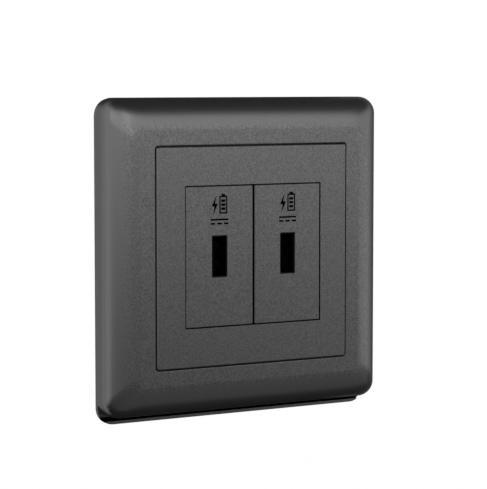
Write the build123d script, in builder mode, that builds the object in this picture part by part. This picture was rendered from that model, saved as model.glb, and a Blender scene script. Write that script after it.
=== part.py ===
# Double USB wall socket for a round flush box: a rolled-edge cover frame on its base, a square centre
# plate, and two half-width charger modules clipped into a steel support yoke, each with one upright port.
import os

from build123d import *

os.makedirs("parts", exist_ok=True)

# Frame of reference: the wall is the plane y = 0, the room lies towards -Y and the flush box towards +Y.
# A height is measured out of the wall, so a plane at height h stands at y = -h.

# Cover frame
frame_size = 100.0
frame_height = 13.0
frame_corner = 5.4
frame_roll_width = 10.0
frame_roll_depth = 7.5
frame_roll_side = 5.4
frame_wall = 2.2
frame_rib_wall = 1.2
frame_rib_pitch = 26.0
frame_rib_height = 5.0

# Frame base, the carrier ring against the wall
base_height = 1.5
base_inset = 0.2
base_wall = 1.4
base_locator = 3.0
base_yoke_gap = 0.8
lip_drop = 2.6
lip_groove = 1.6
lip_groove_depth = 0.8

# Centre plate
plate_size = 69.7
plate_corner = 0.8
plate_proud = 0.5
plate_thickness = 2.2
plate_soft = 0.35
plate_rim = 1.5
plate_seam = 0.35
window_width = 50.0
window_height = 45.0
window_corner = 0.5
window_collar = 1.3
window_collar_drop = 1.6

# Ledge of the cover frame under the plate's rim
ledge_drop = 2.6
ledge_width = 3.0
ledge_thickness = 1.6
ledge_collar = 1.8

# Snap legs of the centre plate
leg_gap = 0.65
leg_z = 10.5
leg_width = 5.0
leg_thickness = 1.5
leg_nose = 0.7
leg_tip = 1.8

# Support yoke
yoke_size = 71.0
yoke_corner = 6.0
yoke_thickness = 1.2
screw_spacing = 60.0
screw_slot_length = 7.0
screw_slot_width = 4.2

# Module faces and covers
face_gap = 0.22
face_divider = 0.65
face_recess = 0.1
face_corner = 0.5
face_soft = 0.25
cover_wall = 1.6
port_slot_gap = 0.075
port_slot_corner = 0.3
port_collar_wall = 1.0
port_collar_depth = 1.8

# Module housings
flange_thickness = 2.0
flange_rim = 1.4
housing_width = 22.0
housing_height = 40.5
housing_depth = 28.0
housing_wall = 1.5
housing_chamfer = 5.0
lug_width = 7.0
lug_length = 3.0
lug_reach = 0.9
rail_wall = 1.1
rail_depth = 1.5

# USB-A port
shell_width = 5.5
shell_height = 13.15
shell_setback = 0.2
shell_depth = 14.0
shell_sheet = 0.3
shell_spring_width = 2.2
shell_spring_length = 5.0
shell_spring_pitch = 5.6
insulator_depth = 4.2
tongue_thickness = 1.84
tongue_height = 11.1
tongue_length = 7.6
tongue_offset = 0.9
contact_count = 4
contact_pitch = 2.3
contact_width = 1.0
contact_thickness = 0.25
contact_length = 6.4

# Circuit board and what stands on it
board_thickness = 1.6
board_front_gap = 0.7
board_rear_gap = 0.8
transformer_width = 12.0
transformer_rise = 10.5
transformer_stack = 5.0
transformer_leg = 3.4
transformer_side = 1.6
transformer_yoke = 1.7
transformer_front_gap = 1.3
transformer_port_gap = 1.0
transformer_rail_gap = 0.275
input_can_height = 10.8
input_can_gap = 1.8
input_can_port_gap = 1.3
input_can_rail_gap = 1.375
output_can_radius = 3.15
output_can_height = 9.5
output_can_gap = 1.9
rectifier_length = 6.4
rectifier_width = 4.6
rectifier_rise = 2.5
rectifier_edge = 0.35
rectifier_rear_gap = 1.3
rectifier_bar_gap = 2.05
fuse_width = 3.4
fuse_length = 8.0
fuse_rise = 7.0
fuse_edge = 0.5
fuse_gap = 2.7
fuse_bar_gap = 0.65

# Rising-cage terminals, one near each end of the housing
screw_radius = 1.6
screw_head_radius = 2.7
screw_head_height = 1.9
screw_drive_width = 0.8
screw_drive_depth = 1.0
driver_hole_radius = 2.2
cage_width = 6.4
cage_length = 6.0
cage_side = 1.0
cage_nut = 2.0
cage_foot = 1.2
cage_travel = 2.5
wire_opening = 3.6
wire_hole_radius = 1.8
wire_guide = 2.6
bar_width = 4.0
bar_thickness = 1.2
bar_ear_length = 3.0
bar_board_lap = 6.0
terminal_rib = 1.2
terminal_front_gap = 0.5

# Clearances
seat_gap = 0.05
slide_fit = 0.1
snap_fit = 0.2
cage_fit = 0.2
thread_fit = 0.1
cut_over = 1.0

# Levels worked out from the sizes above
plate_front = frame_height + plate_proud
plate_back = plate_front - plate_thickness
plate_opening = plate_size + 2 * plate_seam
ledge_front = frame_height - ledge_drop
ledge_back = ledge_front - ledge_thickness
frame_back = base_height + slide_fit
roll_run = frame_roll_width - frame_roll_side
roll_drop = frame_roll_depth - frame_roll_side
frame_roll_face = (roll_run**2 + frame_roll_depth**2 - frame_roll_side**2) / (2 * roll_drop)
roll_spread = frame_roll_face - frame_roll_side
cavity_size = frame_size - 2 * frame_wall
collar_size = plate_opening + 2 * ledge_collar
leg_x = window_width / 2 + leg_gap + leg_thickness / 2

face_front = plate_front - face_recess
face_width = (window_width - 2 * face_gap - face_divider) / 2
face_height = window_height - 2 * face_gap
face_back = face_front - cover_wall
module_x = (face_width + face_divider) / 2
flange_front = yoke_thickness + flange_thickness
cover_back = flange_front + seat_gap

housing_end = -housing_depth
housing_floor = housing_end + housing_wall
inner_width = housing_width - 2 * housing_wall
inner_height = housing_height - 2 * housing_wall
inner_chamfer = housing_chamfer - housing_wall * (2 - 2**0.5)

shell_front = face_front - shell_setback
shell_back = shell_front - shell_depth
board_side = shell_width / 2 + seat_gap
board_front = face_back - port_collar_depth - board_front_gap
board_height = inner_height - 2 * slide_fit

head_top = housing_depth - housing_wall - slide_fit
head_seat = head_top - screw_head_height
cage_rear = head_seat - slide_fit - cage_travel
bar_rear = cage_rear - cage_nut - slide_fit
bar_front = bar_rear - bar_thickness
cage_inner = bar_front - wire_opening
cage_front = cage_inner - cage_foot
terminal_z = housing_height / 2 - wire_guide - cage_fit - cage_length / 2
terminal_front = cage_front - terminal_front_gap
board_rear = terminal_front - board_rear_gap
board_depth = board_front + board_rear
bar_inner = terminal_z - cage_length / 2 - cage_fit - bar_ear_length - bar_thickness
rib_gap = cage_width + 2 * cage_fit
bar_outer = bar_inner + bar_thickness

# Places on the board: the transformer and input can fill the room past the port's ends, and the rest
# lies behind the port
port_end_room = inner_height / 2 - rail_depth - shell_height / 2
winding_height = port_end_room - transformer_port_gap - transformer_rail_gap
transformer_build = (winding_height - transformer_stack) / 2
input_can_radius = (port_end_room - input_can_port_gap - input_can_rail_gap) / 2
transformer_y = -board_front + transformer_front_gap + transformer_width / 2
transformer_z = shell_height / 2 + transformer_port_gap + winding_height / 2
fuse_y = transformer_y + transformer_width / 2 + fuse_gap + fuse_width / 2
fuse_z = bar_outer + fuse_bar_gap + fuse_length / 2
rectifier_y = board_rear - rectifier_rear_gap - rectifier_length / 2
rectifier_z = -(bar_outer + rectifier_bar_gap + rectifier_width / 2)
input_can_y = rectifier_y - rectifier_length / 2 - input_can_gap - input_can_radius
input_can_z = -(shell_height / 2 + input_can_port_gap + input_can_radius)
output_can_y = -shell_back + output_can_gap + output_can_radius


def height(h):
    """The plane parallel to the wall at height h, facing the room, with x across and y up."""
    return Plane.XZ.offset(h)


def save(builder, name):
    """Label the finished piece and write its STEP file."""
    builder.part.label = name
    export_step(builder.part, f"parts/{name}.step")


def rolled_block(inset):
    """A square block with the frame's rolled front edge and round corners, drawn in by inset all over."""
    half_size = frame_size / 2 - inset
    front = frame_height - inset
    corner = frame_corner - inset
    corner_centre = half_size - corner
    face_arc_radius = frame_roll_face - inset
    roll_start = frame_size / 2 - frame_roll_width
    roll_meet = (
        roll_start + face_arc_radius * roll_run / roll_spread,
        frame_roll_face - frame_height - face_arc_radius * (roll_spread - roll_drop) / roll_spread,
    )
    roll_end = frame_roll_depth - frame_height

    # A strip with both front edges rolled: a wide arc from the face runs into a tighter one at the side
    with BuildPart() as strip:
        with BuildSketch() as section:
            with BuildLine():
                face_arc = TangentArc((roll_start, -front), roll_meet, tangent=(1, 0))
                TangentArc(roll_meet, (half_size, roll_end), tangent=face_arc % 1)
                Polyline((half_size, roll_end), (half_size, -frame_back), (0, -frame_back))
                Line((0, -front), face_arc @ 0)
                mirror(about=Plane.YZ)
            make_face()
        extrude(amount=half_size, both=True)

    # The end of that section, turned through the corner's quarter circle
    with BuildPart() as corner_post:
        with BuildSketch(Plane.XY.offset(corner_centre)):
            add(section.sketch)
            with Locations((half_size - corner / 2, -(frame_back + front) / 2)):
                Rectangle(corner, front - frame_back, mode=Mode.INTERSECT)
        revolve(axis=Axis((corner_centre, 0, corner_centre), (0, -1, 0)), revolution_arc=90)

    # Two crossing strips leave a block rolled on all four sides, whose corners the posts replace
    with BuildPart() as block:
        add(strip.part)
        add(strip.part.rotate(Axis.Y, 90), mode=Mode.INTERSECT)
        with BuildSketch(height(frame_back)):
            with GridLocations(2 * half_size - corner, 2 * half_size - corner, 2, 2):
                Rectangle(corner, corner)
        extrude(amount=frame_height, mode=Mode.SUBTRACT)
        for turn in range(4):
            add(corner_post.part.rotate(Axis.Y, 90 * turn))
    return block.part


# Cover frame: a hollow moulding with a rolled front edge, ribs inside, and a ledge round its opening.
frame_block = rolled_block(0)
frame_core = rolled_block(frame_wall)

with BuildPart() as frame_hollow:
    add(frame_core)
    with BuildSketch(height(ledge_back)):
        Rectangle(collar_size, collar_size)
    extrude(amount=frame_height - ledge_back, mode=Mode.SUBTRACT)
    rib_length = (frame_size - collar_size) / 2
    with BuildSketch(height(frame_rib_height)):
        with PolarLocations((collar_size + rib_length) / 2, 4):
            with GridLocations(0, frame_rib_pitch, 1, 3):
                Rectangle(rib_length, frame_rib_wall)
    extrude(amount=frame_height - frame_rib_height, mode=Mode.SUBTRACT)

with BuildPart() as cover_frame:
    add(frame_block)
    add(frame_hollow.part, mode=Mode.SUBTRACT)
    with BuildSketch(height(ledge_front)):
        RectangleRounded(plate_opening, plate_opening, plate_corner + plate_seam)
    extrude(amount=ledge_drop + cut_over, mode=Mode.SUBTRACT)
    with BuildSketch(height(frame_back - cut_over)):
        Rectangle(plate_opening - 2 * ledge_width, plate_opening - 2 * ledge_width)
    extrude(amount=frame_height, mode=Mode.SUBTRACT)
save(cover_frame, "cover_frame")

# Frame base: a flat ring on the wall with a rim that the frame fits over. A lip stands out below the frame,
# and a screwdriver in the groove between them lifts the frame off.
with BuildPart() as frame_base:
    base_top = frame_size / 2 - base_inset
    base_bottom = -frame_size / 2 - lip_drop
    base_opening = yoke_size + 2 * base_yoke_gap
    with BuildSketch(height(0)):
        with Locations((0, (base_top + base_bottom) / 2)):
            RectangleRounded(2 * base_top, base_top - base_bottom, frame_corner)
        RectangleRounded(base_opening, base_opening, yoke_corner + base_yoke_gap, mode=Mode.SUBTRACT)
    extrude(amount=base_height)
    with BuildSketch(height(base_height)):
        with Locations((0, -(frame_size + lip_groove) / 2)):
            Rectangle(frame_size, lip_groove)
    extrude(amount=-lip_groove_depth, mode=Mode.SUBTRACT)
    locator_size = cavity_size - 2 * slide_fit
    locator_corner = frame_corner - frame_wall - slide_fit
    with BuildSketch(height(base_height)):
        RectangleRounded(locator_size, locator_size, locator_corner)
        offset(amount=-base_wall, mode=Mode.SUBTRACT)
    extrude(amount=base_locator)
save(frame_base, "frame_base")

# Snap leg of the centre plate: a straight arm with a nose that catches behind the yoke.
with BuildPart() as plate_leg:
    leg_in = leg_x - leg_thickness / 2
    leg_out = leg_x + leg_thickness / 2
    with BuildSketch(Plane.XY.offset(leg_z - leg_width / 2)):
        with BuildLine():
            Polyline(
                (leg_in, -plate_back),
                (leg_out, -plate_back),
                (leg_out, slide_fit),
                (leg_out + leg_nose, slide_fit),
                (leg_out, leg_tip),
                (leg_in, leg_tip),
                close=True,
            )
        make_face()
    extrude(amount=leg_width)

# Centre plate: a thin square plate whose rim sits on the frame's ledge, with a collar round the window.
with BuildPart() as centre_plate:
    with BuildSketch(height(plate_back)):
        RectangleRounded(plate_size, plate_size, plate_corner)
    extrude(amount=plate_thickness)
    chamfer(centre_plate.faces().sort_by(Axis.Y)[0].edges(), plate_soft)
    with BuildSketch(height(ledge_front)):
        RectangleRounded(plate_size, plate_size, plate_corner)
        Rectangle(plate_size - 2 * plate_rim, plate_size - 2 * plate_rim, mode=Mode.SUBTRACT)
    extrude(amount=plate_back - ledge_front)
    with BuildSketch(height(plate_back - window_collar_drop)):
        Rectangle(window_width + 2 * window_collar, window_height + 2 * window_collar)
    extrude(amount=window_collar_drop)
    with BuildSketch(height(plate_front + cut_over)):
        RectangleRounded(window_width, window_height, window_corner)
    extrude(amount=-(plate_thickness + window_collar_drop + 2 * cut_over), mode=Mode.SUBTRACT)
    add(plate_leg.part)
    mirror(plate_leg.part, about=Plane.YZ)
    mirror(plate_leg.part, about=Plane.XY)
    mirror(mirror(plate_leg.part, about=Plane.YZ, mode=Mode.PRIVATE), about=Plane.XY)
save(centre_plate, "centre_plate")

# Support yoke: a stamped steel plate with two module windows, four screw slots and four snap leg holes.
with BuildPart() as support_yoke:
    with BuildSketch(height(0)):
        RectangleRounded(yoke_size, yoke_size, yoke_corner)
        with GridLocations(2 * module_x, 0, 2, 1):
            Rectangle(housing_width + 2 * snap_fit, housing_height + 2 * snap_fit, mode=Mode.SUBTRACT)
        with GridLocations(screw_spacing, 0, 2, 1):
            SlotOverall(screw_slot_length, screw_slot_width, mode=Mode.SUBTRACT)
        with GridLocations(0, screw_spacing, 1, 2):
            SlotOverall(screw_slot_length, screw_slot_width, rotation=90, mode=Mode.SUBTRACT)
        leg_hole = leg_thickness + leg_nose + 2 * snap_fit
        with GridLocations(2 * leg_x + leg_nose, 2 * leg_z, 2, 2):
            Rectangle(leg_hole, leg_width + 2 * snap_fit, mode=Mode.SUBTRACT)
    extrude(amount=yoke_thickness)
save(support_yoke, "support_yoke")

# The two charger modules are alike and stand side by side.
for side, centre_x in (("left", -module_x), ("right", module_x)):
    # Module cover: the visible face, a cap with the USB slot and a collar that centres the port behind it.
    with BuildPart() as module_cover:
        with BuildSketch(height(cover_back)):
            with Locations((centre_x, 0)):
                RectangleRounded(face_width, face_height, face_corner)
        extrude(amount=face_front - cover_back)
        chamfer(module_cover.faces().sort_by(Axis.Y)[0].edges(), face_soft)
        with BuildSketch(height(cover_back)):
            with Locations((centre_x, 0)):
                Rectangle(face_width - 2 * cover_wall, face_height - 2 * cover_wall)
        extrude(amount=face_back - cover_back, mode=Mode.SUBTRACT)
        with BuildSketch(height(face_back - port_collar_depth)):
            with Locations((centre_x, 0)):
                Rectangle(
                    shell_width + 2 * slide_fit + 2 * port_collar_wall,
                    shell_height + 2 * slide_fit + 2 * port_collar_wall,
                )
                Rectangle(shell_width + 2 * slide_fit, shell_height + 2 * slide_fit, mode=Mode.SUBTRACT)
        extrude(amount=port_collar_depth)
        with BuildSketch(height(face_back - cut_over)):
            with Locations((centre_x, 0)):
                RectangleRounded(
                    shell_width + 2 * port_slot_gap,
                    shell_height + 2 * port_slot_gap,
                    port_slot_corner,
                )
        extrude(amount=cover_wall + 2 * cut_over, mode=Mode.SUBTRACT)
    save(module_cover, f"{side}_module_cover")

    # Module housing: a box that passes through the yoke, with a flange in front and the terminals behind.
    with BuildPart() as module_housing:
        with BuildSketch(height(yoke_thickness)):
            with Locations((centre_x, 0)):
                RectangleRounded(face_width, face_height, face_corner)
        extrude(amount=flange_thickness)
        with BuildSketch(height(flange_front)):
            with Locations((centre_x, 0)):
                Rectangle(
                    face_width - 2 * cover_wall - 2 * slide_fit,
                    face_height - 2 * cover_wall - 2 * slide_fit,
                )
        extrude(amount=flange_rim)
        with BuildSketch(height(yoke_thickness)) as body_outline:
            with Locations((centre_x, 0)):
                Rectangle(housing_width, housing_height)
            chamfer(body_outline.vertices(), housing_chamfer)
        extrude(amount=-(yoke_thickness + housing_depth))
        with BuildSketch(height(housing_floor)) as body_inside:
            with Locations((centre_x, 0)):
                Rectangle(inner_width, inner_height)
            chamfer(body_inside.vertices(), inner_chamfer)
        extrude(amount=flange_front + flange_rim - housing_floor, mode=Mode.SUBTRACT)

        # Guide rails that hold the circuit board's top and bottom edges
        rail_x = centre_x + board_side + board_thickness / 2
        rail_pitch = board_thickness + rail_wall + 2 * slide_fit
        rail_rise = rail_depth + housing_wall / 2
        with BuildSketch(height(-board_rear)):
            with Locations((rail_x, 0)):
                with GridLocations(rail_pitch, inner_height - 2 * rail_depth + rail_rise, 2, 2):
                    Rectangle(rail_wall, rail_rise)
        extrude(amount=board_rear)

        # Side ribs and wire guides of the two terminals
        rib_span = housing_height / 2 - housing_wall / 2 - bar_inner
        rib_z = bar_inner + rib_span / 2
        guide_rise = wire_guide - housing_wall / 2
        guide_z = terminal_z + cage_length / 2 + cage_fit + guide_rise / 2
        with BuildSketch(height(housing_floor)):
            with Locations((centre_x, 0)):
                with GridLocations(rib_gap + terminal_rib, 2 * rib_z, 2, 2):
                    Rectangle(terminal_rib, rib_span)
                with GridLocations(0, 2 * guide_z, 1, 2):
                    Rectangle(rib_gap, guide_rise)
        extrude(amount=-housing_floor - terminal_front)

        # Driver holes in the back, and wire holes through the top and bottom walls
        with BuildSketch(height(housing_end - cut_over)):
            with Locations((centre_x, 0)):
                with GridLocations(0, 2 * terminal_z, 1, 2):
                    Circle(driver_hole_radius)
        extrude(amount=housing_wall + 2 * cut_over, mode=Mode.SUBTRACT)
        for end in (1, -1):
            with BuildSketch(Plane.XY.offset(end * terminal_z)):
                with Locations((centre_x, (bar_front + cage_inner) / 2)):
                    Circle(wire_hole_radius)
            extrude(amount=end * housing_height, mode=Mode.SUBTRACT)

        # Snap lugs that catch behind the yoke
        for end in (1, -1):
            with BuildSketch(Plane.YZ.offset(centre_x - lug_width / 2)):
                with BuildLine():
                    Polyline(
                        (slide_fit, end * (housing_height / 2 - housing_wall / 2)),
                        (slide_fit, end * (housing_height / 2 + lug_reach)),
                        (slide_fit + lug_length, end * (housing_height / 2 - housing_wall / 2)),
                        close=True,
                    )
                make_face()
            extrude(amount=lug_width)
    save(module_housing, f"{side}_module_housing")

    # Circuit board: stands edge-on behind the face, in the housing's rails, beside the port.
    board_face = centre_x + board_side
    with BuildPart() as circuit_board:
        with BuildSketch(Plane.YZ.offset(board_face)):
            with Locations((-board_front + board_depth / 2, 0)):
                Rectangle(board_depth, board_height)
        extrude(amount=board_thickness)
    save(circuit_board, f"{side}_circuit_board")

    # Port shell: folded from sheet steel, with spring windows in its two broad sides.
    with BuildPart() as port_shell:
        with BuildSketch(height(shell_back)):
            with Locations((centre_x, 0)):
                Rectangle(shell_width, shell_height)
                Rectangle(shell_width - 2 * shell_sheet, shell_height - 2 * shell_sheet, mode=Mode.SUBTRACT)
        extrude(amount=shell_depth)
        with BuildSketch(Plane.YZ.offset(centre_x - shell_width)):
            with Locations((-(shell_front + shell_back) / 2, 0)):
                with GridLocations(0, shell_spring_pitch, 1, 2):
                    Rectangle(shell_spring_length, shell_spring_width)
        extrude(amount=2 * shell_width, mode=Mode.SUBTRACT)
    save(port_shell, f"{side}_port_shell")

    # Port tongue: the moulded block that closes the shell's back, with the tongue that a plug goes over.
    tongue_x = centre_x - tongue_offset
    with BuildPart() as port_tongue:
        with BuildSketch(height(shell_back)):
            with Locations((centre_x, 0)):
                Rectangle(
                    shell_width - 2 * shell_sheet - 2 * seat_gap,
                    shell_height - 2 * shell_sheet - 2 * seat_gap,
                )
        extrude(amount=insulator_depth)
        with BuildSketch(height(shell_back + insulator_depth)):
            with Locations((tongue_x, 0)):
                Rectangle(tongue_thickness, tongue_height)
        extrude(amount=tongue_length)
    save(port_tongue, f"{side}_port_tongue")

    # Port contacts: four flat springs on the tongue's inner side.
    with BuildPart() as port_contacts:
        with BuildSketch(height(shell_back + insulator_depth)):
            with Locations((tongue_x + tongue_thickness / 2 + contact_thickness / 2, 0)):
                with GridLocations(0, contact_pitch, 1, contact_count):
                    Rectangle(contact_thickness, contact_width)
        extrude(amount=contact_length)
    save(port_contacts, f"{side}_port_contacts")

    # Transformer: a ferrite core of two E shapes, and the winding round its middle leg.
    core_x = board_face - seat_gap - transformer_rise / 2
    core_window = (transformer_width - 2 * transformer_side - transformer_leg) / 2
    core_window_rise = transformer_rise - 2 * transformer_yoke
    with BuildPart() as transformer_core:
        with BuildSketch(Plane.XY.offset(transformer_z - transformer_stack / 2)):
            with Locations((core_x, transformer_y)):
                Rectangle(transformer_rise, transformer_width)
                with GridLocations(0, transformer_leg + core_window, 1, 2):
                    Rectangle(core_window_rise, core_window, mode=Mode.SUBTRACT)
        extrude(amount=transformer_stack)
    save(transformer_core, f"{side}_transformer_core")

    winding_width = transformer_leg + 2 * (core_window - slide_fit)
    with BuildPart() as transformer_winding:
        with BuildSketch(Plane.YZ.offset(core_x - core_window_rise / 2 + slide_fit)):
            with Locations((transformer_y, transformer_z)):
                RectangleRounded(winding_width, winding_height, transformer_build / 2)
                Rectangle(
                    transformer_leg + 2 * slide_fit,
                    transformer_stack + 2 * slide_fit,
                    mode=Mode.SUBTRACT,
                )
        extrude(amount=core_window_rise - 2 * slide_fit)
    save(transformer_winding, f"{side}_transformer_winding")

    # Capacitors: two cans that stand on the board.
    cans = (
        ("input_capacitor", input_can_radius, input_can_height, input_can_y, input_can_z),
        ("output_capacitor", output_can_radius, output_can_height, output_can_y, 0),
    )
    for can_name, can_radius, can_height, can_y, can_z in cans:
        with BuildPart() as capacitor:
            with BuildSketch(Plane.YZ.offset(board_face - seat_gap)):
                with Locations((can_y, can_z)):
                    Circle(can_radius)
            extrude(amount=-can_height)
        save(capacitor, f"{side}_{can_name}")

    # Rectifier: a flat moulded block on the board.
    with BuildPart() as rectifier:
        with BuildSketch(Plane.YZ.offset(board_face - seat_gap)):
            with Locations((rectifier_y, rectifier_z)):
                Rectangle(rectifier_length, rectifier_width)
        extrude(amount=-rectifier_rise)
        chamfer(rectifier.faces().sort_by(Axis.X)[0].edges(), rectifier_edge)
    save(rectifier, f"{side}_rectifier")

    # Fuse: a small upright block on the board.
    with BuildPart() as fuse:
        with BuildSketch(Plane.YZ.offset(board_face - seat_gap)):
            with Locations((fuse_y, fuse_z)):
                Rectangle(fuse_width, fuse_length)
        extrude(amount=-fuse_rise)
        chamfer(fuse.faces().sort_by(Axis.X)[0].edges(), fuse_edge)
    save(fuse, f"{side}_fuse")

    # Terminals: live near the top and neutral near the bottom. A captive screw draws its cage towards its
    # head, and the cage clamps the wire against the fixed contact bar that passes through it.
    for pole, end in (("live", 1), ("neutral", -1)):
        screw_z = end * terminal_z

        with BuildPart() as terminal_screw:
            with BuildSketch(height(-head_seat)):
                with Locations((centre_x, screw_z)):
                    Circle(screw_head_radius)
            extrude(amount=-screw_head_height)
            with BuildSketch(height(-head_seat)):
                with Locations((centre_x, screw_z)):
                    Circle(screw_radius)
            extrude(amount=head_seat - bar_rear - seat_gap)
            with BuildSketch(height(-head_top)):
                with Locations((centre_x, screw_z)):
                    Rectangle(2 * screw_head_radius + cut_over, screw_drive_width)
            extrude(amount=screw_drive_depth, mode=Mode.SUBTRACT)
        save(terminal_screw, f"{side}_{pole}_terminal_screw")

        with BuildPart() as terminal_cage:
            with BuildSketch(Plane.XY.offset(screw_z - cage_length / 2)):
                with Locations((centre_x, (cage_front + cage_rear) / 2)):
                    Rectangle(cage_width, cage_rear - cage_front)
                with Locations((centre_x, (cage_inner + cage_rear - cage_nut) / 2)):
                    Rectangle(
                        cage_width - 2 * cage_side,
                        cage_rear - cage_nut - cage_inner,
                        mode=Mode.SUBTRACT,
                    )
            extrude(amount=cage_length)
            with BuildSketch(height(-cage_rear - cut_over)):
                with Locations((centre_x, screw_z)):
                    Circle(screw_radius + thread_fit)
            extrude(amount=cage_nut + 2 * cut_over, mode=Mode.SUBTRACT)
        save(terminal_cage, f"{side}_{pole}_terminal_cage")

        with BuildPart() as contact_bar:
            bar_end = terminal_z + cage_length / 2
            ear_z = bar_inner + bar_ear_length / 2
            with BuildSketch(height(-bar_front)):
                with Locations((centre_x, end * (bar_inner + bar_end) / 2)):
                    Rectangle(bar_width, bar_end - bar_inner)
                with Locations((centre_x, end * ear_z)):
                    Rectangle(rib_gap - 2 * slide_fit, bar_ear_length)
            extrude(amount=-bar_thickness)
            tab_width = bar_width / 2 + board_side - seat_gap
            tab_x = centre_x - bar_width / 2 + tab_width / 2
            tab_length = bar_front - board_rear + bar_board_lap
            with BuildSketch(height(-bar_front)):
                with Locations((tab_x, end * (bar_inner + bar_thickness / 2))):
                    Rectangle(tab_width, bar_thickness)
            extrude(amount=tab_length)
        save(contact_bar, f"{side}_{pole}_contact_bar")
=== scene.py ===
import math

import bpy
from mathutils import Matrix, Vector


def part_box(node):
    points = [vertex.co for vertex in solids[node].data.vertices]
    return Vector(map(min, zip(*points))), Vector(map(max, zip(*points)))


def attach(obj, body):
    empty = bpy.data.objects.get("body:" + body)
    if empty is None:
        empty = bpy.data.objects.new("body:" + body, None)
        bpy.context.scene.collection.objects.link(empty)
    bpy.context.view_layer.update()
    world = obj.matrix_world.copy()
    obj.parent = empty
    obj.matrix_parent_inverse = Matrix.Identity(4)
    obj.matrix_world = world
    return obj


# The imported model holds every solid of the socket, in metres. The wall is at y = 0, the room towards -Y.
# Its own shapes stay, and each section below gives its pieces their finish.
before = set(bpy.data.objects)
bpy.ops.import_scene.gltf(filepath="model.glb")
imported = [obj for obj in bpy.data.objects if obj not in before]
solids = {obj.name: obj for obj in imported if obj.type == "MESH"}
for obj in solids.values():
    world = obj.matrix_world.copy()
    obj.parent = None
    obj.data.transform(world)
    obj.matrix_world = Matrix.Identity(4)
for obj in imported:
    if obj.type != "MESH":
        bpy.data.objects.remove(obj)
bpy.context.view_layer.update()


# Frame base: the flat ring that lies on the wall under the cover frame, a smooth dark grey moulding.
# Its lip stands out below the frame, and a screwdriver in the groove between them lifts the frame off.
# The floor of the groove is painted black as painted shade, and the skin that the hot mould leaves gives the
# plastic its sheen.
MM = 0.001
plastic_tone = 0.045
plastic_grain, pits_per_grain = 2500.0, 1.7
plastic_gloss, gloss_spread = 0.3, 0.04
plastic_sheen = 0.75
sheen_ior = 1.6
slant_from, slant_to = 0.5, 0.85
sheen_left_at_slant = 0.3
groove_shade_low, groove_shade_high = -51.65 * MM, -49.9 * MM
groove_shade_front, groove_shade_back = -1.45 * MM, -0.4 * MM


def add_node(tree, kind, values=None, **settings):
    """Place a shader node, set its properties and fill its unlinked sockets by name or number."""
    placed = tree.nodes.new(kind)
    for name, setting in settings.items():
        setattr(placed, name, setting)
    for name, value in (values or {}).items():
        placed.inputs[name].default_value = value
    return placed


def feed(tree, socket, term):
    """Link a socket to another one, or set it to a plain value."""
    if isinstance(term, bpy.types.NodeSocket):
        tree.links.new(term, socket)
    else:
        socket.default_value = term


def reckoned(tree, operation, *terms):
    """The result of a calculation on sockets or plain numbers."""
    placed = add_node(tree, "ShaderNodeMath", operation=operation)
    for number, term in enumerate(terms):
        feed(tree, placed.inputs[number], term)
    return placed.outputs["Value"]


def ranged(tree, value, start, end, first=0.0, last=1.0, blend="LINEAR"):
    """A value carried over from one range to another, and held at both ends."""
    placed = add_node(tree, "ShaderNodeMapRange", interpolation_type=blend)
    terms = {"Value": value, "From Min": start, "From Max": end, "To Min": first, "To Max": last}
    for name, term in terms.items():
        feed(tree, placed.inputs[name], term)
    return placed.outputs["Result"]


def shaded(tree, colour, factor):
    """A colour scaled by a factor that changes over the surface."""
    placed = add_node(tree, "ShaderNodeVectorMath", operation="SCALE")
    tree.links.new(colour, placed.inputs[0])
    tree.links.new(factor, placed.inputs["Scale"])
    return placed.outputs["Vector"]


def noise(tree, place, scale, detail, roughness=0.5):
    """A fine noise over a piece, about one half on average."""
    placed = add_node(tree, "ShaderNodeTexNoise", {"Detail": detail, "Roughness": roughness})
    tree.links.new(place, placed.inputs["Vector"])
    feed(tree, placed.inputs["Scale"], scale)
    return placed.outputs["Fac"]


def on_piece(tree, kind="Object"):
    """The place on a piece, or the normal there, in the piece's own axes."""
    return add_node(tree, "ShaderNodeTexCoord").outputs[kind]


def split(tree, vector):
    """The X, Y and Z of a vector."""
    parts = add_node(tree, "ShaderNodeSeparateXYZ")
    tree.links.new(vector, parts.inputs["Vector"])
    return parts.outputs


def new_group(name, inputs, outputs):
    """Start a node group with named sockets, and return its tree, what it is given and what it makes."""
    group = bpy.data.node_groups.new(name, "ShaderNodeTree")
    for label, kind, value in inputs:
        socket = group.interface.new_socket(label, in_out="INPUT", socket_type=kind)
        socket.default_value = value
    for label, kind in outputs:
        group.interface.new_socket(label, in_out="OUTPUT", socket_type=kind)
    return group, group.nodes.new("NodeGroupInput").outputs, group.nodes.new("NodeGroupOutput").inputs


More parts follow.
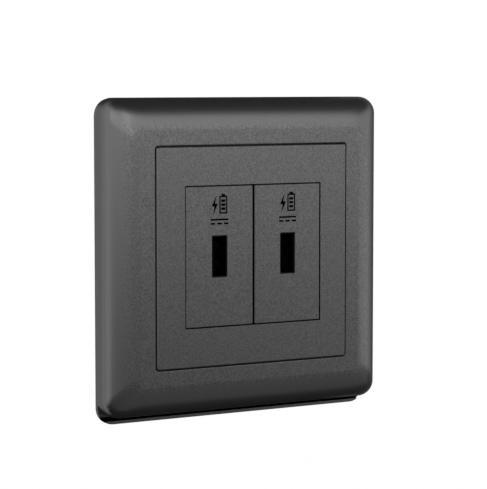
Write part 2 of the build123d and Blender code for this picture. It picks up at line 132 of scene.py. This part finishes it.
def moulded_grain_group():
    """Spark-eroded mould texture: a fine uneven tone and height, which fade out towards a polished edge."""
    group, given, made = new_group(
        "moulded_grain",
        [
            ("Tone", "NodeSocketColor", (0.1, 0.1, 0.1, 1.0)),
            ("Spread", "NodeSocketFloat", 0.1),
            ("Grain Scale", "NodeSocketFloat", 900.0),
            ("Plain From", "NodeSocketFloat", 1.0),
            ("Plain At", "NodeSocketFloat", 1.1),
            ("Side Reach", "NodeSocketFloat", 0.0),
        ],
        [("Color", "NodeSocketColor"), ("Height", "NodeSocketFloat"), ("Polish", "NodeSocketFloat")],
    )
    place = on_piece(group)
    spot = split(group, place)
    across = reckoned(group, "ABSOLUTE", spot["X"])
    upward = reckoned(group, "ABSOLUTE", spot["Z"])
    reach = reckoned(group, "MAXIMUM", reckoned(group, "SUBTRACT", across, given["Side Reach"]), upward)
    grained = ranged(
        group, reach, given["Plain From"], given["Plain At"], first=1.0, last=0.0, blend="SMOOTHSTEP"
    )

    grain = noise(group, place, scale=given["Grain Scale"], detail=2.0, roughness=0.6)
    uneven = ranged(group, grain, start=0.3, end=0.7, first=-1.0, last=1.0)
    spread = reckoned(group, "MULTIPLY", given["Spread"], grained)
    strength = reckoned(group, "MULTIPLY_ADD", uneven, spread, 1.0)
    group.links.new(shaded(group, given["Tone"], strength), made["Color"])

    pit_scale = reckoned(group, "MULTIPLY", given["Grain Scale"], pits_per_grain)
    pits = noise(group, place, scale=pit_scale, detail=3.0, roughness=0.55)
    group.links.new(reckoned(group, "MULTIPLY", pits, grained), made["Height"])
    group.links.new(reckoned(group, "MULTIPLY", uneven, grained), made["Polish"])
    return group


moulded_grain = moulded_grain_group()


def new_finish(name):
    """Start a material, and return it with its node tree and its shader's sockets."""
    finish = bpy.data.materials.new(name)
    finish.use_nodes = True
    return finish, finish.node_tree, finish.node_tree.nodes["Principled BSDF"].inputs


def relieved(tree, skin, height, depth, edge):
    """Give a finish its fine relief, over edges that a bevel softens."""
    rounded = add_node(tree, "ShaderNodeBevel", {"Radius": edge}, samples=4, name="soft_edges")
    relief = add_node(tree, "ShaderNodeBump", {"Strength": 1.0, "Distance": depth}, name="relief")
    tree.links.new(height, relief.inputs["Height"])
    tree.links.new(rounded.outputs["Normal"], relief.inputs["Normal"])
    tree.links.new(relief.outputs["Normal"], skin["Normal"])


def moulded_plastic(name, tone, spread, grain_scale, grain_depth, roughness, specular, edge):
    """A moulded plastic, with its tone, relief and gloss from the shared grain."""
    finish, tree, skin = new_finish(name)
    skin["Specular IOR Level"].default_value = specular
    grain = add_node(
        tree,
        "ShaderNodeGroup",
        {"Tone": (tone, tone, tone, 1.0), "Spread": spread, "Grain Scale": grain_scale},
        node_tree=moulded_grain,
        name="grain",
    )
    duller, glossier = roughness + gloss_spread, roughness - gloss_spread
    gloss = ranged(tree, grain.outputs["Polish"], start=-1.0, end=1.0, first=glossier, last=duller)
    tree.links.new(grain.outputs["Color"], skin["Base Color"])
    tree.links.new(gloss, skin["Roughness"])
    relieved(tree, skin, grain.outputs["Height"], grain_depth, edge)
    return finish


def glazed(finish, sheen, spread):
    """Lay the skin of the hot mould over a plastic: a sheen that its grain breaks up, duller at a slant."""
    tree = finish.node_tree
    skin = tree.nodes["Principled BSDF"].inputs
    skin["Coat Roughness"].default_value = plastic_gloss
    skin["Coat IOR"].default_value = sheen_ior
    polish = tree.nodes["grain"].outputs["Polish"]
    weight = ranged(tree, polish, start=-1.0, end=1.0, first=sheen - spread, last=sheen + spread)
    slant = add_node(tree, "ShaderNodeLayerWeight", {"Blend": 0.5}).outputs["Facing"]
    left = ranged(tree, slant, slant_from, slant_to, first=1.0, last=sheen_left_at_slant)
    tree.links.new(reckoned(tree, "MULTIPLY", weight, left), skin["Coat Weight"])
    tree.links.new(tree.nodes["relief"].outputs["Normal"], skin["Coat Normal"])


def dimmed(finish, factor):
    """Scale a finish's colour, and its sheen if it has one, by a factor from zero to one."""
    tree = finish.node_tree
    skin = tree.nodes["Principled BSDF"].inputs
    colour = skin["Base Color"].links[0].from_socket
    tree.links.new(shaded(tree, colour, factor), skin["Base Color"])
    if skin["Coat Weight"].is_linked:
        sheen = skin["Coat Weight"].links[0].from_socket
        tree.links.new(reckoned(tree, "MULTIPLY", sheen, factor), skin["Coat Weight"])


def paint_groove_shade(finish):
    """Paint shade on the level strip inside the groove: its colour and sheen go black."""
    tree = finish.node_tree
    spot = split(tree, on_piece(tree))
    strip = reckoned(tree, "COMPARE", spot["Z"], (groove_shade_low + groove_shade_high) / 2, (groove_shade_high - groove_shade_low) / 2)
    sunk = reckoned(tree, "COMPARE", spot["Y"], (groove_shade_front + groove_shade_back) / 2, (groove_shade_back - groove_shade_front) / 2)
    inside = reckoned(tree, "MULTIPLY", strip, sunk)
    dimmed(finish, reckoned(tree, "SUBTRACT", 1.0, inside))


def dress(names, finish):
    """Give the named solids one finish."""
    for name in names:
        solids[name].material_slots[0].material = finish


base_plastic = moulded_plastic(
    "base_plastic",
    tone=plastic_tone,
    spread=0.1,
    grain_scale=plastic_grain,
    grain_depth=0.004 * MM,
    roughness=plastic_gloss,
    specular=0.0,
    edge=0.15 * MM,
)
glazed(base_plastic, sheen=plastic_sheen, spread=0.0)
# Painted shade: the groove's strip under the frame's edge is blackened in colour and sheen.
paint_groove_shade(base_plastic)
dress(["frame_base"], base_plastic)


# Support yoke: a square plate stamped from sheet steel and zinc plated, screwed to the flush box.
# The plating is a dull silver with a faint cloudy bloom and fine rolling marks along the sheet.
bloom_scale, marks_scale = 160.0, 1500.0
plating_gloss_spread = 0.08


def plated_group():
    """Plated or bare metal: a cloudy tone and gloss, drawn out one way like rolling or brushing marks."""
    group, given, made = new_group(
        "plated_metal",
        [
            ("Tone", "NodeSocketColor", (0.6, 0.6, 0.6, 1.0)),
            ("Spread", "NodeSocketFloat", 0.1),
            ("Gloss", "NodeSocketFloat", 0.35),
            ("Stretch", "NodeSocketVector", (1.0, 1.0, 1.0)),
        ],
        [("Color", "NodeSocketColor"), ("Roughness", "NodeSocketFloat"), ("Height", "NodeSocketFloat")],
    )
    place = on_piece(group)
    drawn_out = add_node(group, "ShaderNodeVectorMath", operation="MULTIPLY")
    group.links.new(place, drawn_out.inputs[0])
    group.links.new(given["Stretch"], drawn_out.inputs[1])
    bloom = noise(group, place, bloom_scale, detail=3.0)
    marks = noise(group, drawn_out.outputs["Vector"], marks_scale, detail=2.0)
    both = reckoned(group, "ADD", bloom, marks)
    uneven = ranged(group, both, start=0.6, end=1.4, first=-1.0, last=1.0)
    strength = reckoned(group, "MULTIPLY_ADD", uneven, given["Spread"], 1.0)
    gloss = reckoned(group, "MULTIPLY_ADD", uneven, plating_gloss_spread, given["Gloss"])
    group.links.new(shaded(group, given["Tone"], strength), made["Color"])
    group.links.new(gloss, made["Roughness"])
    group.links.new(marks, made["Height"])
    return group


plated_metal = plated_group()


def metal(name, tone, spread, gloss, stretch=(1.0, 1.0, 1.0), depth=0.004 * MM, edge=0.12 * MM):
    """A plated or bare metal, with its tone, relief and gloss from the shared plating."""
    finish, tree, skin = new_finish(name)
    skin["Metallic"].default_value = 1.0
    plating = add_node(
        tree,
        "ShaderNodeGroup",
        {"Tone": (*tone, 1.0), "Spread": spread, "Gloss": gloss, "Stretch": stretch},
        node_tree=plated_metal,
    )
    tree.links.new(plating.outputs["Color"], skin["Base Color"])
    tree.links.new(plating.outputs["Roughness"], skin["Roughness"])
    relieved(tree, skin, plating.outputs["Height"], depth, edge)
    return finish


def seam_group():
    """The light that gets into seams and gaps narrower than a reach, from zero to one."""
    group, given, made = new_group(
        "seam_light", [("Reach", "NodeSocketFloat", 2.0 * MM)], [("Light", "NodeSocketFloat")]
    )
    seam = add_node(group, "ShaderNodeAmbientOcclusion", samples=8)
    group.links.new(given["Reach"], seam.inputs["Distance"])
    group.links.new(seam.outputs["AO"], made["Light"])
    return group


seam_light = seam_group()


def paint_seam_shade(finish, reach):
    """Paint shade into a finish's colour and sheen in its seams and gaps, where little light gets in."""
    seam = add_node(finish.node_tree, "ShaderNodeGroup", {"Reach": reach}, node_tree=seam_light)
    dimmed(finish, seam.outputs["Light"])


yoke_zinc = metal("yoke_zinc", tone=(0.58, 0.58, 0.56), spread=0.12, gloss=0.36, stretch=(0.08, 1.0, 1.0))
# Painted shade: the plating's colour darkens near the housings and in its hollows.
paint_seam_shade(yoke_zinc, reach=8.0 * MM)
dress(["support_yoke"], yoke_zinc)

# Module housings: the black boxes that hold the electronics and the terminals, one for each port.
# They are moulded in a flame-proof plastic with a satin surface, pass through the yoke's windows
# and clip behind it with two lugs.
modules = ("left", "right")
housing_plastic = moulded_plastic(
    "housing_plastic",
    tone=0.028,
    spread=0.1,
    grain_scale=900.0,
    grain_depth=0.012 * MM,
    roughness=0.48,
    specular=0.45,
    edge=0.25 * MM,
)
dress([f"{side}_module_housing" for side in modules], housing_plastic)

# Circuit boards: one upright in each housing, in glass fibre laminate under a green solder mask.
# Copper tracks stand out under the mask as lighter bands, and rails in the housing hold the board's edges.
mask_dark = (0.012, 0.10, 0.035, 1.0)
mask_light = (0.016, 0.125, 0.045, 1.0)
mask_over_copper = (0.04, 0.20, 0.08, 1.0)
track_height = 0.03 * MM
solder_mask, tree, skin = new_finish("solder_mask")
skin["Roughness"].default_value = 0.32
upright = add_node(tree, "ShaderNodeMapping", {"Rotation": (0.0, math.radians(90), 0.0)})
tree.links.new(on_piece(tree), upright.inputs["Vector"])
tracks = add_node(
    tree,
    "ShaderNodeTexBrick",
    {
        "Color1": mask_dark,
        "Color2": mask_light,
        "Mortar": mask_over_copper,
        "Scale": 260.0,
        "Mortar Size": 0.012,
        "Brick Width": 0.9,
        "Row Height": 0.35,
    },
)
tree.links.new(upright.outputs["Vector"], tracks.inputs["Vector"])
tree.links.new(tracks.outputs["Color"], skin["Base Color"])
raised = add_node(tree, "ShaderNodeBump", {"Strength": 0.6, "Distance": track_height})
tree.links.new(tracks.outputs["Fac"], raised.inputs["Height"])
tree.links.new(raised.outputs["Normal"], skin["Normal"])
dress([f"{side}_circuit_board" for side in modules], solder_mask)

# Parts on the boards: a ferrite transformer wound under yellow tape, two capacitors, a rectifier and a fuse.
# Each is a bought part with its own dull or sleeved surface, soldered to the board.
ferrite = moulded_plastic(
    "ferrite",
    tone=0.05,
    spread=0.15,
    grain_scale=1400.0,
    grain_depth=0.01 * MM,
    roughness=0.55,
    specular=0.3,
    edge=0.1 * MM,
)
dress([f"{side}_transformer_core" for side in modules], ferrite)


def sleeve(name, dark, light, band_scale, roughness):
    """A wrapped tape or shrunk sleeve: soft bands of two tones round the part."""
    finish, tree, skin = new_finish(name)
    skin["Roughness"].default_value = roughness
    bands = add_node(tree, "ShaderNodeTexWave", {"Scale": band_scale, "Distortion": 1.2, "Detail": 1.0})
    tree.links.new(on_piece(tree), bands.inputs["Vector"])
    tones = add_node(tree, "ShaderNodeMix", {"A": (*dark, 1.0), "B": (*light, 1.0)}, data_type="RGBA")
    tree.links.new(bands.outputs["Fac"], tones.inputs["Factor"])
    tree.links.new(tones.outputs["Result"], skin["Base Color"])
    return finish


winding_tape = sleeve(
    "winding_tape", dark=(0.62, 0.38, 0.03), light=(0.75, 0.5, 0.06), band_scale=90.0, roughness=0.4
)
dress([f"{side}_transformer_winding" for side in modules], winding_tape)
can_sleeve = sleeve(
    "can_sleeve", dark=(0.012, 0.018, 0.05), light=(0.02, 0.03, 0.075), band_scale=40.0, roughness=0.35
)
dress([f"{side}_{can}_capacitor" for side in modules for can in ("input", "output")], can_sleeve)
moulded_black = moulded_plastic(
    "moulded_black",
    tone=0.02,
    spread=0.1,
    grain_scale=1600.0,
    grain_depth=0.008 * MM,
    roughness=0.5,
    specular=0.4,
    edge=0.1 * MM,
)
dress([f"{side}_rectifier" for side in modules], moulded_black)
fuse_case = moulded_plastic(
    "fuse_case",
    tone=0.06,
    spread=0.08,
    grain_scale=1600.0,
    grain_depth=0.006 * MM,
    roughness=0.35,
    specular=0.5,
    edge=0.1 * MM,
)
dress([f"{side}_fuse" for side in modules], fuse_case)

# USB ports: a folded steel shell in a black plating, with a black tongue and four gilt contacts inside.
# A collar behind the module cover centres the shell, and the shell's mouth stands in the cover's slot.
shell_plating = metal("shell_plating", tone=(0.005, 0.005, 0.005), spread=0.1, gloss=0.4)
dress([f"{side}_port_shell" for side in modules], shell_plating)
tongue_plastic = moulded_plastic(
    "tongue_plastic",
    tone=0.003,
    spread=0.1,
    grain_scale=1600.0,
    grain_depth=0.006 * MM,
    roughness=0.8,
    specular=0.0,
    edge=0.08 * MM,
)
dress([f"{side}_port_tongue" for side in modules], tongue_plastic)
gilt = metal("gilt", tone=(0.75, 0.5, 0.16), spread=0.1, gloss=0.25, depth=0.002 * MM, edge=0.05 * MM)
dress([f"{side}_port_contacts" for side in modules], gilt)

# Terminals: a screw, a rising cage and a contact bar for each wire, so four sets in all.
# The screw and the cage are zinc plated steel, and the bar is brass.
# The screw's head lies behind a round hole in the housing's back.
poles = ("live", "neutral")
terminals = [f"{side}_{pole}" for side in modules for pole in poles]
screw_zinc = metal("screw_zinc", tone=(0.62, 0.6, 0.52), spread=0.14, gloss=0.3, depth=0.006 * MM)
dress([f"{terminal}_terminal_screw" for terminal in terminals], screw_zinc)
cage_zinc = metal("cage_zinc", tone=(0.55, 0.55, 0.53), spread=0.12, gloss=0.36)
dress([f"{terminal}_terminal_cage" for terminal in terminals], cage_zinc)
bar_brass = metal("bar_brass", tone=(0.74, 0.55, 0.24), spread=0.12, gloss=0.3)
dress([f"{terminal}_contact_bar" for terminal in terminals], bar_brass)

# Module covers and centre plate: the two faces round the ports, and the square plate round both of them.
# They are moulded in the dark grey plastic, with the fine spark texture of the mould on their faces.
# The covers are caps on the housings' rims, and the plate's snap legs catch behind the yoke.
face_spread = 0.38
face_grain_depth = 0.012 * MM
face_sheen_spread = 0.25
cover_plastic = moulded_plastic(
    "cover_plastic",
    tone=plastic_tone,
    spread=face_spread,
    grain_scale=plastic_grain,
    grain_depth=face_grain_depth,
    roughness=plastic_gloss,
    specular=0.0,
    edge=0.2 * MM,
)
glazed(cover_plastic, sheen=plastic_sheen, spread=face_sheen_spread)
# Painted shade: colour and sheen darken in the seams round the covers and the plate.
paint_seam_shade(cover_plastic, reach=2.0 * MM)
dress([f"{side}_module_cover" for side in modules], cover_plastic)
dress(["centre_plate"], cover_plastic)

# Cover frame: the square outer frame, a hollow moulding in the same plastic that fits over the base's rim.
# Its face has the spark texture, and its rolled edge is polished smooth and turns softly at the corners.
roll_plain_from, roll_plain_at = 40.0 * MM, 44.5 * MM
side_roll_further_out = 3.5 * MM
corner_from, corner_full = 36.0 * MM, 40.0 * MM
corner_turn = 6.5 * MM
roll_steep, roll_upright = 0.8, 0.98


def soft_corners(finish):
    """Turn the two rolled edges into each other where they meet in a corner of the frame."""
    tree = finish.node_tree
    spot = split(tree, on_piece(tree))
    across = reckoned(tree, "ABSOLUTE", spot["X"])
    upward = reckoned(tree, "ABSOLUTE", spot["Z"])
    corner = ranged(tree, reckoned(tree, "MINIMUM", across, upward), corner_from, corner_full)
    sideways = reckoned(tree, "SUBTRACT", across, upward)
    bearing = ranged(tree, sideways, -corner_turn, corner_turn, first=0.0, last=math.pi / 2)

    normal = on_piece(tree, "Normal")
    flattened = add_node(tree, "ShaderNodeVectorMath", {1: (1.0, 0.0, 1.0)}, operation="MULTIPLY")
    tree.links.new(normal, flattened.inputs[0])
    length = add_node(tree, "ShaderNodeVectorMath", operation="LENGTH")
    tree.links.new(flattened.outputs["Vector"], length.inputs[0])
    slope = length.outputs["Value"]
    turned = add_node(tree, "ShaderNodeCombineXYZ")
    tree.links.new(split(tree, normal)["Y"], turned.inputs["Y"])
    for axis, share in (("X", "SINE"), ("Z", "COSINE")):
        side = reckoned(tree, "SIGN", spot[axis])
        part = reckoned(tree, "MULTIPLY", reckoned(tree, share, bearing), side)
        tree.links.new(reckoned(tree, "MULTIPLY", part, slope), turned.inputs[axis])
    outward = add_node(
        tree, "ShaderNodeVectorTransform", vector_type="NORMAL", convert_from="OBJECT", convert_to="WORLD"
    )
    tree.links.new(turned.outputs["Vector"], outward.inputs["Vector"])

    rolling = ranged(tree, slope, roll_steep, roll_upright, first=1.0, last=0.0)
    blended = add_node(tree, "ShaderNodeMix", data_type="VECTOR")
    tree.links.new(reckoned(tree, "MULTIPLY", corner, rolling), blended.inputs["Factor"])
    tree.links.new(tree.nodes["soft_edges"].outputs["Normal"], blended.inputs["A"])
    tree.links.new(outward.outputs["Vector"], blended.inputs["B"])
    tree.links.new(blended.outputs["Result"], tree.nodes["relief"].inputs["Normal"])


frame_plastic = moulded_plastic(
    "frame_plastic",
    tone=plastic_tone,
    spread=face_spread,
    grain_scale=plastic_grain,
    grain_depth=face_grain_depth,
    roughness=plastic_gloss,
    specular=0.0,
    edge=0.5 * MM,
)
frame_grain = frame_plastic.node_tree.nodes["grain"].inputs
frame_grain["Plain From"].default_value = roll_plain_from
frame_grain["Plain At"].default_value = roll_plain_at
frame_grain["Side Reach"].default_value = side_roll_further_out
glazed(frame_plastic, sheen=plastic_sheen, spread=face_sheen_spread)
soft_corners(frame_plastic)
# Painted shade: colour and sheen darken in the frame's seams and gaps.
paint_seam_shade(frame_plastic, reach=0.5 * MM)
dress(["cover_frame"], frame_plastic)


# Printed signs: a battery being charged and the direct current mark, stamped on each module cover above
# its port. They are thin black ink that stands a few hundredths of a millimetre above the moulding.
def rectangle(width, height, x, y):
    """Corner points of an upright rectangle about a centre."""
    left, right = x - width / 2, x + width / 2
    bottom, top = y - height / 2, y + height / 2
    return [(left, bottom), (right, bottom), (right, top), (left, top)]


battery_x, battery_rise = 1.35 * MM, 16.3 * MM
battery_width, battery_height, battery_line = 2.9 * MM, 5.6 * MM, 0.45 * MM
battery_cap_width, battery_cap_height = 1.3 * MM, 0.6 * MM
battery_bar_width, battery_bar_height, battery_bar_pitch = 1.5 * MM, 0.8 * MM, 1.25 * MM
bolt_x, bolt_rise = -1.75 * MM, 16.2 * MM
bolt_points = [(0.6, 3.1), (-1.1, -0.4), (-0.1, -0.4), (-0.6, -3.1), (1.1, 0.5), (0.1, 0.5)]
mark_rise = 11.0 * MM
mark_width, mark_line, mark_gap = 6.4 * MM, 0.55 * MM, 1.25 * MM
mark_dash = 1.6 * MM
ink_thickness = 0.03 * MM
ink_lift = 0.01 * MM

battery_top = battery_rise + (battery_height + battery_cap_height) / 2
sign_outlines = [
    rectangle(battery_width, battery_height, battery_x, battery_rise),
    rectangle(battery_width - 2 * battery_line, battery_height - 2 * battery_line, battery_x, battery_rise),
    rectangle(battery_cap_width, battery_cap_height, battery_x, battery_top),
    [(bolt_x + x * MM, bolt_rise + y * MM) for x, y in bolt_points],
    rectangle(mark_width, mark_line, 0.0, mark_rise + mark_gap / 2),
]
for step in (-1, 0, 1):
    bar_rise = battery_rise + step * battery_bar_pitch
    sign_outlines.append(rectangle(battery_bar_width, battery_bar_height, battery_x, bar_rise))
    dash_x = step * (mark_width - mark_dash) / 2
    sign_outlines.append(rectangle(mark_dash, mark_line, dash_x, mark_rise - mark_gap / 2))

ink = moulded_plastic(
    "ink",
    tone=0.003,
    spread=0.2,
    grain_scale=2500.0,
    grain_depth=0.004 * MM,
    roughness=0.8,
    specular=0.0,
    edge=0.02 * MM,
)
for side in modules:
    low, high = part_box(f"{side}_module_cover")
    drawing = bpy.data.curves.new(f"{side}_charge_signs", "CURVE")
    drawing.dimensions = "2D"
    drawing.fill_mode = "BOTH"
    drawing.extrude = ink_thickness / 2
    for outline in sign_outlines:
        loop = drawing.splines.new("POLY")
        loop.points.add(len(outline) - 1)
        for point, (x, y) in zip(loop.points, outline):
            point.co = (x, y, 0.0, 1.0)
        loop.use_cyclic_u = True
    drawn = bpy.data.objects.new(f"{side}_charge_drawing", drawing)
    signs = bpy.data.objects.new(f"{side}_charge_signs", bpy.data.meshes.new_from_object(drawn))
    bpy.data.objects.remove(drawn)
    bpy.context.scene.collection.objects.link(signs)
    signs.rotation_euler = (math.radians(90), 0.0, 0.0)
    signs.location = ((low.x + high.x) / 2, low.y - ink_lift, (low.z + high.z) / 2)
    signs.data.materials.append(ink)
    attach(signs, "socket")

# Studio: a pale floor well below the socket and an empty background, both white to the camera.
# Soft panels round the socket shine in its gloss alone, and two lamps light its matt colours.
# Black and glowing cards, which show in the gloss alone too, shade the rolled edge and the faces.
socket_middle = Vector((0.0, -6.0 * MM, 0.0))
lamp_power = 4.0
floor_size, floor_drop = 8.0, 0.55
floor_tone, floor_roughness = (0.35, 0.35, 0.35, 1.0), 0.9
floor_white, floor_white_share = 1.1, 0.9
plain_white = (1.0, 1.0, 1.0, 1.0)
ambient_strength, backdrop_strength = 0.05, 1.0


def around(azimuth, elevation, distance):
    """A point round the socket: azimuth 0 is straight in front, and positive turns to the right."""
    turn, rise = math.radians(azimuth), math.radians(elevation)
    away = Vector((math.sin(turn) * math.cos(rise), -math.cos(turn) * math.cos(rise), math.sin(rise)))
    return socket_middle + distance * away


def face_towards(placed, position, target):
    """Place an object and point its -Z axis at the target, with +Y upward."""
    placed.location = position
    placed.rotation_euler = (target - position).to_track_quat("-Z", "Y").to_euler()
    bpy.context.scene.collection.objects.link(placed)


def soft_lamp(name, position, width, height, brightness, gloss):
    """A soft lamp that faces the socket: it shines in the gloss, or else lights the matt colours."""
    lamp = bpy.data.lights.new(name, "AREA")
    lamp.shape = "RECTANGLE"
    lamp.size = width
    lamp.size_y = height
    lamp.energy = lamp_power * width * height * brightness
    placed = bpy.data.objects.new(name, lamp)
    face_towards(placed, position, socket_middle)
    placed.visible_camera = False
    placed.visible_glossy = gloss
    placed.visible_diffuse = not gloss


front_right, front_left = around(14.0, 22.0, 0.8), around(-37.5, 22.0, 0.8)
far_left, right_front = around(-90.0, 14.0, 0.7), around(48.5, 1.0, 0.8)
far_right, rear = around(68.0, 0.0, 0.8), around(182.0, 20.0, 0.9)
key_side, upper_rear = around(15.0, 25.0, 0.9), around(182.0, 25.0, 0.9)
soft_lamp("front_right_panel", front_right, width=0.8, height=0.69, brightness=2.28, gloss=True)
soft_lamp("front_left_panel", front_left, width=0.885, height=0.69, brightness=2.9, gloss=True)
soft_lamp("left_panel", far_left, width=0.66, height=1.0, brightness=1.85, gloss=True)
soft_lamp("right_front_panel", right_front, width=0.15, height=0.9, brightness=1.7, gloss=True)
soft_lamp("right_panel", far_right, width=0.42, height=0.9, brightness=1.15, gloss=True)
soft_lamp("rear_panel", rear, width=0.7, height=0.8, brightness=0.25, gloss=True)
soft_lamp("key_lamp", key_side, width=0.6, height=0.6, brightness=2.2, gloss=False)
soft_lamp("rear_lamp", upper_rear, width=0.9, height=0.9, brightness=3.0, gloss=False)


def plane(name, width, depth, position):
    """A flat rectangle that lies level at a position."""
    corners = [(x, y, 0.0) for x, y in rectangle(width, depth, 0.0, 0.0)]
    mesh = bpy.data.meshes.new(name)
    mesh.from_pydata(corners, [], [(0, 1, 2, 3)])
    placed = bpy.data.objects.new(name, mesh)
    placed.location = position
    bpy.context.scene.collection.objects.link(placed)
    return placed


def seen_directly(tree):
    """One where a camera, glossy or transmission ray looks, and zero for the light on the socket."""
    path = add_node(tree, "ShaderNodeLightPath").outputs
    mirrored = reckoned(tree, "MAXIMUM", path["Is Camera Ray"], path["Is Glossy Ray"])
    return reckoned(tree, "MAXIMUM", mirrored, path["Is Transmission Ray"])


def two_sorts_of_ray(tree, share, lighting, looked_at, output):
    """Show one shader to the rays that light the socket, and another to a share of those that look."""
    shown = add_node(tree, "ShaderNodeMixShader")
    tree.links.new(share, shown.inputs[0])
    tree.links.new(lighting.outputs[0], shown.inputs[1])
    tree.links.new(looked_at.outputs[0], shown.inputs[2])
    tree.links.new(shown.outputs[0], tree.nodes[output].inputs["Surface"])


floor = plane("floor", floor_size, floor_size, (0.0, 0.0, -floor_drop))
pale_floor, tree, skin = new_finish("pale_floor")
skin["Base Color"].default_value = floor_tone
skin["Roughness"].default_value = floor_roughness
white = add_node(tree, "ShaderNodeEmission", {"Strength": floor_white})
share = reckoned(tree, "MULTIPLY", seen_directly(tree), floor_white_share)
two_sorts_of_ray(tree, share, tree.nodes["Principled BSDF"], white, "Material Output")
floor.data.materials.append(pale_floor)


def gloss_card(name, width, depth, at, turned, glow):
    """A black or softly glowing card that shows in reflections alone."""
    card = plane(name, width, depth, at)
    card.rotation_euler = turned
    card.visible_camera = False
    card.visible_diffuse = False
    card.visible_transmission = False
    card.visible_shadow = False
    finish, tree, _ = new_finish(name)
    glowing = add_node(tree, "ShaderNodeEmission", {"Strength": glow})
    tree.links.new(glowing.outputs[0], tree.nodes["Material Output"].inputs["Surface"])
    card.data.materials.append(finish)


lying, standing = (0.0, 0.0, 0.0), (math.radians(90), 0.0, 0.0)
gloss_card("upper_card", width=1.2, depth=0.75, at=(0.3, 0.025, 0.5), turned=lying, glow=0.0)
gloss_card("lower_card", width=0.56, depth=0.15, at=(0.08, 0.04, -0.12), turned=lying, glow=0.0)
gloss_card("table_card", width=0.81, depth=1.75, at=(-0.045, -1.135, -0.12), turned=lying, glow=0.2)
gloss_card("near_table_card", width=0.81, depth=0.225, at=(-0.045, -0.1475, -0.12), turned=lying, glow=0.52)
gloss_card("top_edge_card", width=0.16, depth=0.06, at=(0.02, 0.012, 0.0803), turned=standing, glow=0.0)
gloss_card("right_edge_card", width=0.1, depth=0.16, at=(0.102, 0.012, 0.0), turned=standing, glow=0.4)
gloss_card("left_edge_card", width=0.01, depth=0.16, at=(-0.057, 0.012, 0.0), turned=standing, glow=0.95)
gloss_card("left_side_card", width=0.023, depth=0.16, at=(-0.0735, 0.012, 0.0), turned=standing, glow=1.9)

room = bpy.data.worlds.new("room")
bpy.context.scene.world = room
room.use_nodes = True
tree = room.node_tree
ambient = tree.nodes["Background"]
ambient.inputs["Color"].default_value = plain_white
ambient.inputs["Strength"].default_value = ambient_strength
backdrop = add_node(tree, "ShaderNodeBackground", {"Color": plain_white, "Strength": backdrop_strength})
two_sorts_of_ray(tree, seen_directly(tree), ambient, backdrop, "World Output")

# Camera: from the front left and a little above, at the photograph's distance and framing.
# It aims a little up and to the right of the socket's middle, as far as the photograph's crop does.
camera_azimuth, camera_elevation, camera_distance = -30.2, 4.95, 0.6403
image_height = 489
focal_pixels = 1989
aim_right, aim_up = 0.4 * MM, 2.7 * MM
eye = bpy.data.cameras.new("camera")
eye.lens = focal_pixels * eye.sensor_width / image_height
camera = bpy.data.objects.new("camera", eye)
camera_place = around(camera_azimuth, camera_elevation, camera_distance)
face_towards(camera, camera_place, socket_middle)
view_axes = camera.rotation_euler.to_matrix()
aim = socket_middle + view_axes @ Vector((aim_right, aim_up, 0.0))
camera.rotation_euler = (aim - camera_place).to_track_quat("-Z", "Y").to_euler()
bpy.context.scene.camera = camera

bpy.context.scene.view_settings.view_transform = "Standard"
